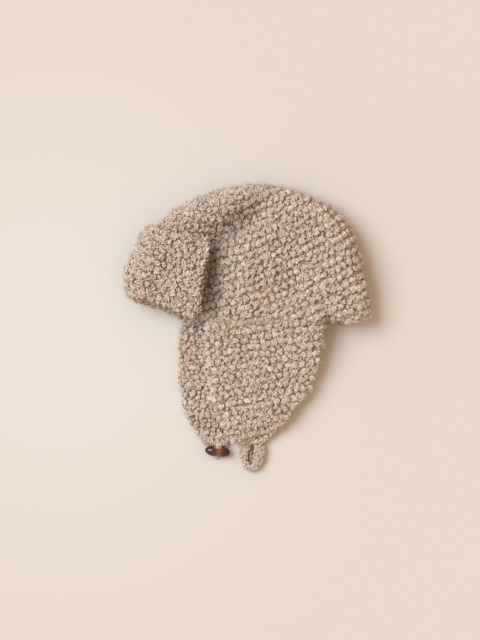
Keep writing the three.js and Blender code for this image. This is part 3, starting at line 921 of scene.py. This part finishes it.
def add_place(tree, location, **inputs):
    """Places in a system of its own, which these inputs move, turn or scale against the object's."""
    where = add_node(tree, "TexCoord", {}).outputs["Object"]
    location = tuple(c * MM for c in location)
    place_at = add_node(tree, "Mapping", {"Vector": where, "Location": location, **inputs})
    place_at.vector_type = "TEXTURE"
    return place_at.outputs["Vector"]


def yarn_material():
    """Wool: each strand's own colour, mottled along it, with fine fibres as bump."""
    material, tree, shader = new_material("boucle_knit")
    where = add_node(tree, "TexCoord", {}).outputs["Object"]
    tint = add_node(tree, "Attribute", {})
    tint.attribute_name = "tint"
    mottle = add_node(tree, "TexNoise", {"Vector": where, "Scale": 420, "Detail": 3, "Roughness": 0.6})
    stops = [(0.3, (0.86, 0.84, 0.82, 1)), (0.7, (1.1, 1.1, 1.1, 1))]
    ramp = add_ramp(tree, mottle.outputs["Fac"], stops)
    mix = add_node(tree, "Mix", {})
    mix.data_type = "RGBA"
    mix.blend_type = "MULTIPLY"
    fill_inputs(tree, mix, {"Factor": 1, 6: tint.outputs["Color"], 7: ramp.outputs["Color"]})
    fibres = add_node(tree, "TexNoise", {"Vector": where, "Scale": 1400, "Detail": 4, "Roughness": 0.7})
    bump = add_node(tree, "Bump", {"Strength": 0.5, "Distance": 0.0005, "Height": fibres.outputs["Fac"]})
    values = {
        "Base Color": mix.outputs[2],
        "Normal": bump.outputs["Normal"],
        "Roughness": 0.92,
        "Specular IOR Level": 0.25,
        "Sheen Weight": 0.3,
        "Sheen Roughness": 0.45,
        "Sheen Tint": (1, 0.95, 0.9, 1),
    }
    fill_inputs(tree, shader, values)
    return material


def wood_material():
    """Dark reddish wood with a polish: nearly black at its ends and more orange round its waist."""
    material, tree, shader = new_material("toggle_wood")
    middle = (WOOD_MIDDLE, TOGGLE["y"], TOGGLE["z"])
    along = add_place(tree, middle, Rotation=(0, 0, math.radians(TOGGLE["tilt"])))
    grain_place = add_node(tree, "Mapping", {"Vector": along, "Scale": (70, 420, 420)})
    noise = {"Vector": grain_place.outputs["Vector"], "Scale": 1, "Detail": 5, "Distortion": 0.6}
    grain = add_node(tree, "TexNoise", noise).outputs["Fac"]
    apart = add_node(tree, "SeparateXYZ", {"Vector": along})
    off_middle = add_node(tree, "Math", {0: apart.outputs["X"]})
    off_middle.operation = "ABSOLUTE"
    spread = add_node(tree, "Math", {0: grain, 1: -0.7, 2: 0.42})
    spread.operation = "MULTIPLY_ADD"
    share = add_node(tree, "Math", {0: off_middle.outputs["Value"], 1: 66, 2: spread.outputs["Value"]})
    share.operation = "MULTIPLY_ADD"
    stops = [
        (0.0, (0.31, 0.105, 0.05, 1)),
        (0.4, (0.105, 0.027, 0.018, 1)),
        (0.72, (0.048, 0.0115, 0.009, 1)),
        (0.95, (0.019, 0.0055, 0.0055, 1)),
    ]
    ramp = add_ramp(tree, share.outputs["Value"], stops)
    bump = add_node(tree, "Bump", {"Strength": 0.12, "Distance": 0.0002, "Height": grain})
    values = {
        "Base Color": ramp.outputs["Color"],
        "Normal": bump.outputs["Normal"],
        "Roughness": 0.4,
        "Specular IOR Level": 0.2,
        "Coat Weight": 0.9,
        "Coat IOR": 1.5,
        "Coat Roughness": 0.16,
    }
    fill_inputs(tree, shader, values)
    return material


def floor_material():
    """A plain pale surface, with a painted pool of light, a little cooler and lighter, in front of the
    hat.
    """
    material, tree, shader = new_material("floor")
    about = add_place(tree, FLOOR["place"], Scale=(FLOOR["reach"] * MM,) * 3)
    nearness = add_node(tree, "TexGradient", {"Vector": about})
    nearness.gradient_type = "SPHERICAL"
    ramp = add_ramp(tree, nearness.outputs["Fac"], [(0, FLOOR["colour"]), (1, FLOOR["painted_pool"])])
    ramp.color_ramp.interpolation = "EASE"
    values = {"Base Color": ramp.outputs["Color"], "Roughness": 0.95, "Specular IOR Level": 0.1}
    fill_inputs(tree, shader, values)
    return material


# Knitted pieces


def make_grounds():
    tree, owners = all_solids_tree()
    grounds = {}
    for name, knit in KNITS.items():
        mesh, points, edges = even_mesh(name, VOXEL[name])
        points = pulled(points, np.full(len(points), name))
        write_points(mesh, points)
        normals = read_normals(mesh)
        away, facing = clearances(points, normals, tree, owners)
        grounds[name] = {
            "mesh": mesh,
            "points": points,
            "edges": edges,
            "normals": normals,
            "away": away,
            "facing": facing,
            "shown": away > CLOSE,
            "field": row_field(knit["rows"], knit["spacing"], points.min(0), points.max(0)),
            "angle": row_angle(knit["rows"], points[:, 0], points[:, 1]),
        }
    return grounds


def add_ground(name, ground, yarn):
    """The knit's surface between its nubs, sunk below the solid's face and in a dark colour as painted
    shade.
    """
    scale = KNITS[name]["scale"]
    depth = np.where(ground["shown"], GROUND_DEPTH, HIDDEN_DEPTH)[:, None] * scale
    soft = soft_depth(ground["normals"], np.full(len(depth), name))[:, None]
    depth = depth + soft * (ground["away"][:, None] > OPEN)
    depth = 0.5 * depth + 0.5 * neighbour_mean(depth, ground["edges"])
    points = ground["points"] - ground["normals"] * depth
    points[:, 2] = np.maximum(points[:, 2], REST_LEVEL)
    write_points(ground["mesh"], points)
    # painted shade: the ground's dark colour, darker still in the places of painted shade
    ground_shade = np.array(PAINTED_GROUND_SHADE) * KNITS[name]["ground"]
    paint(ground["mesh"], ground_shade * painted_shade(points, np.full(len(points), name)))
    ground["mesh"].shade_smooth()
    add_piece(name + "_ground", ground["mesh"], yarn, nodes=[name])


def add_yarn(label, sites, tints, kind, scale, yarn, rng):
    """Curls of one kind, in as many pieces as keep each under the limit on triangles."""
    triangles = kind["count"] * (2 * YARN_SIDES * (kind["rings"] - 1) + 2 * (YARN_SIDES - 2))
    parts = math.ceil(len(sites["points"]) * triangles / PIECE_TRIANGLES)
    order = np.argsort(sites["points"][:, 0], kind="stable")
    for number, part in enumerate(np.array_split(order, parts)):
        name = label if parts == 1 else f"{label}_{number + 1}"
        mesh = curl_mesh(some_of(sites, part), kind, tints[part], scale, rng)
        add_piece(name, mesh, yarn)


def fill_narrow_places(tree, yarn):
    """Loose curls in each narrow place of FILLS."""
    rng = np.random.default_rng(SEEDS["fills"])
    sizes, loose = FILL_NUBS["sizes"], FILL_NUBS["loose"]
    for fill in FILLS:
        flat = along_path(fill["path"], fill["apart"])
        if "level" in fill:
            points = np.column_stack([flat, np.full(len(flat), fill["level"])])
        else:
            points = np.array([on_solids(tree, x, y, fill["above"]) for x, y in flat])
        points[:, :2] += rng.normal(0, FILL_NUBS["drift"], flat.shape)
        sites = loose_sites(points, (0, 0, 1), (1, 0, 0), sizes, fill["half"], loose, rng)
        tints = np.tile(np.array(fill["colour"]), (len(flat), 1))
        add_piece(fill["name"] + "_nubs", core_mesh(sites, 1, tints, rng), yarn)
        for label, kind in (("_curls", CURLS), ("_stray_curls", STRAY_CURLS)):
            mesh = curl_mesh(sites, kind, tints, fill["yarn"], rng, FILL_NUBS["shared"])
            add_piece(fill["name"] + label, mesh, yarn)


def knit_all():
    rng = np.random.default_rng(SEEDS["knit"])
    yarn = yarn_material()
    grounds = make_grounds()
    sites = choose_sites(grounds, rng)
    arrays = site_arrays(sites, grounds, rng)
    tints = yarn_tint(len(sites), rng)
    tints = NUB_OWN_TINT * tints + (1 - NUB_OWN_TINT) * tints.mean(0)
    owner = np.array([s["piece"] for s in sites])
    small = np.array([s["size"] == SMALL for s in sites])
    away = np.array([grounds[s["piece"]]["away"][s["vertex"]] for s in sites])
    facing = np.array([grounds[s["piece"]]["facing"][s["vertex"]] for s in sites])
    beside_peak = (owner == "crown") & (facing == "front_peak")
    rise = arrays["n"][:, 2]
    seen = (rise > SEEN_FACING) & ((away > OPEN) | beside_peak)
    at_outline = seen & (np.abs(rise) < SIDE_FACING)
    soft_side = at_outline & (soft_depth(arrays["n"], owner) > SOFT_ENOUGH)
    for name, ground in grounds.items():
        scale = KNITS[name]["scale"]
        add_ground(name, ground, yarn)
        for label, level, kind, wanted in (
            ("", 2, CURLS, seen & ~small),
            ("_small", 1, SMALL_CURLS, seen & small),
            ("_under", 1, UNDER_CURLS, ~seen & ~small),
            ("_stray", None, STRAY_CURLS, at_outline),
        ):
            pick = (owner == name) & wanted
            if not pick.any():
                continue
            some = some_of(arrays, pick)
            if level:
                mesh = core_mesh(some, level, tints[pick], rng)
                add_piece(name + label + "_nubs", mesh, yarn)
            add_yarn(name + label + "_curls", some, tints[pick], kind, scale, yarn, rng)
        for label, kind, wanted in (
            ("_fuzz", FUZZ, soft_side),
            ("_edge_fibres", FIBRES, at_outline & ~soft_side),
        ):
            pick = (owner == name) & wanted
            if pick.any():
                mesh = fibre_mesh(some_of(arrays, pick), kind, tints[pick], scale, rng)
                add_piece(name + label, mesh, yarn)
    tree, _ = all_solids_tree()
    edge_stitches(tree, yarn)
    fill_narrow_places(tree, yarn)
    return yarn


# Toggle and its tie


def toggle():
    mesh, points, _ = even_mesh("toggle", TOGGLE_VOXEL)
    write_points(mesh, points + TOGGLE["proud"] * read_normals(mesh))
    paint(mesh, np.ones((len(points), 3)))
    mesh.shade_smooth()
    add_piece("toggle_polished", mesh, wood_material(), ["toggle"])


def on_toggle(along, up, level):
    """A point beside the toggle: along its length, up towards the flap, and above its middle."""
    tilt = math.radians(TOGGLE["tilt"])
    x = TOGGLE["x"] + along * math.cos(tilt) - up * math.sin(tilt)
    y = TOGGLE["y"] + along * math.sin(tilt) + up * math.cos(tilt)
    return np.array([x, y, TOGGLE["z"] + level])


def tie(yarn):
    """Strands from the right flap's tip into the toggle's hole, their tails below it, and a tuft."""
    rng = np.random.default_rng(SEEDS["tie"])
    lines, radii = [], []
    count = TIE["points"]

    def strand(knots, radius):
        knots = np.array([on_toggle(*k) for k in knots])
        at = np.linspace(0, len(knots) - 1, count)
        line = np.stack([np.interp(at, np.arange(len(knots)), knots[:, k]) for k in range(3)], axis=1)
        for _ in range(2):
            line[1:-1] = 0.5 * line[1:-1] + 0.25 * (line[:-2] + line[2:])
        lines.append(line)
        radii.append(radius * (0.6 + 0.4 * np.sin(np.linspace(0.3, 2.9, count))))

    for _ in range(TIE["strands"]):
        across = rng.uniform(-TIE["spread"], TIE["spread"])
        sway = rng.uniform(-1, 1)
        top = rng.uniform(0, 1.1)
        strand(
            [
                (across * 1.3, 9.8, rng.uniform(-2.0, 0.5)),
                (across * 1.2 + sway, 8.0, rng.uniform(0.5, 2.2)),
                (across + 0.7 * sway, 6.3, 2.6 + top),
                (across * 0.95, 4.9, 4.2 + 0.5 * top),
                (across * 0.9, 3.6 + 0.5 * sway, 5.2 + 0.4 * top),
                (across * 0.8, 2.9 + 0.5 * sway, 3.4),
            ],
            rng.uniform(0.3, 0.6),
        )
    for _ in range(TIE["tails"]):
        across, sway = rng.uniform(-1.4, 1.4), rng.uniform(-2.5, 2.5)
        strand(
            [
                (across * 0.5, -4.5, -0.5),
                (across, -7.2, rng.uniform(-1.5, 0.5)),
                (across + sway * 0.6, -8.6, rng.uniform(-4, -1.5)),
                (across + sway, -9.2 - rng.uniform(0, 1.2), -5.6),
            ],
            rng.uniform(0.2, 0.4),
        )
    shape = (len(lines), count, 3)
    facing = unit(np.broadcast_to(np.array([0, 0, 1.0]), shape) + 0.01 * rng.normal(size=shape))
    colours = TIE["light"] * yarn_tint(len(lines), rng)
    mesh = strand_mesh(lines, radii, facing, TIE["sides"], colours)
    add_piece("toggle_tie_yarn", mesh, yarn, ["toggle_tie"])

    points = np.array([on_toggle(*row) for row in TUFT])
    sizes, loose = TUFT_NUBS["sizes"], TUFT_NUBS["loose"]
    sites = loose_sites(points, (0.1, -0.35, 0.9), (0, 1, 0.1), sizes, 1, loose, rng)
    tints = yarn_tint(len(points), rng)
    add_piece("tie_tuft", core_mesh(sites, 2, tints, rng), yarn)
    mesh = curl_mesh(sites, CURLS, tints, TUFT_NUBS["yarn"], rng)
    add_piece("tie_tuft_curls", mesh, yarn)


# Surroundings


def surroundings():
    scene = bpy.context.scene
    half = FLOOR["half"] * MM
    floor = bpy.data.meshes.new("floor")
    corners = [(-half, -half, 0), (half, -half, 0), (half, half, 0), (-half, half, 0)]
    floor.from_pydata(corners, [], [(0, 1, 2, 3)])
    floor.materials.append(floor_material())
    ground = bpy.data.objects.new("floor", floor)
    scene.collection.objects.link(ground)

    world = bpy.data.worlds.new("studio")
    world.use_nodes = True
    background = world.node_tree.nodes["Background"]
    background.inputs["Color"].default_value = SKY["colour"]
    background.inputs["Strength"].default_value = SKY["strength"]
    scene.world = world

    light = bpy.data.lights.new("key", "SUN")
    light.energy = KEY["strength"]
    light.angle = math.radians(KEY["angle"])
    light.color = KEY["colour"]
    key = bpy.data.objects.new("key", light)
    scene.collection.objects.link(key)
    azimuth, elevation = math.radians(KEY["azimuth"]), math.radians(KEY["elevation"])
    level = math.cos(elevation)
    direction = Vector((math.cos(azimuth) * level, math.sin(azimuth) * level, math.sin(elevation)))
    key.location = direction * 2
    key.rotation_mode = "QUATERNION"
    key.rotation_quaternion = direction.to_track_quat("Z", "Y")
    scene.view_settings.view_transform = "Standard"


def camera():
    scene = bpy.context.scene
    data = bpy.data.cameras.new("camera")
    data.sensor_width = SENSOR
    data.lens = SENSOR * CAMERA_DISTANCE / VIEW_TALL
    data.clip_end = 20
    eye = bpy.data.objects.new("camera", data)
    eye.location = Vector((*VIEW_CENTRE, VIEW_LEVEL + CAMERA_DISTANCE)) * MM
    scene.collection.objects.link(eye)
    scene.camera = eye


camera()
yarn = knit_all()
toggle()
tie(yarn)
surroundings()
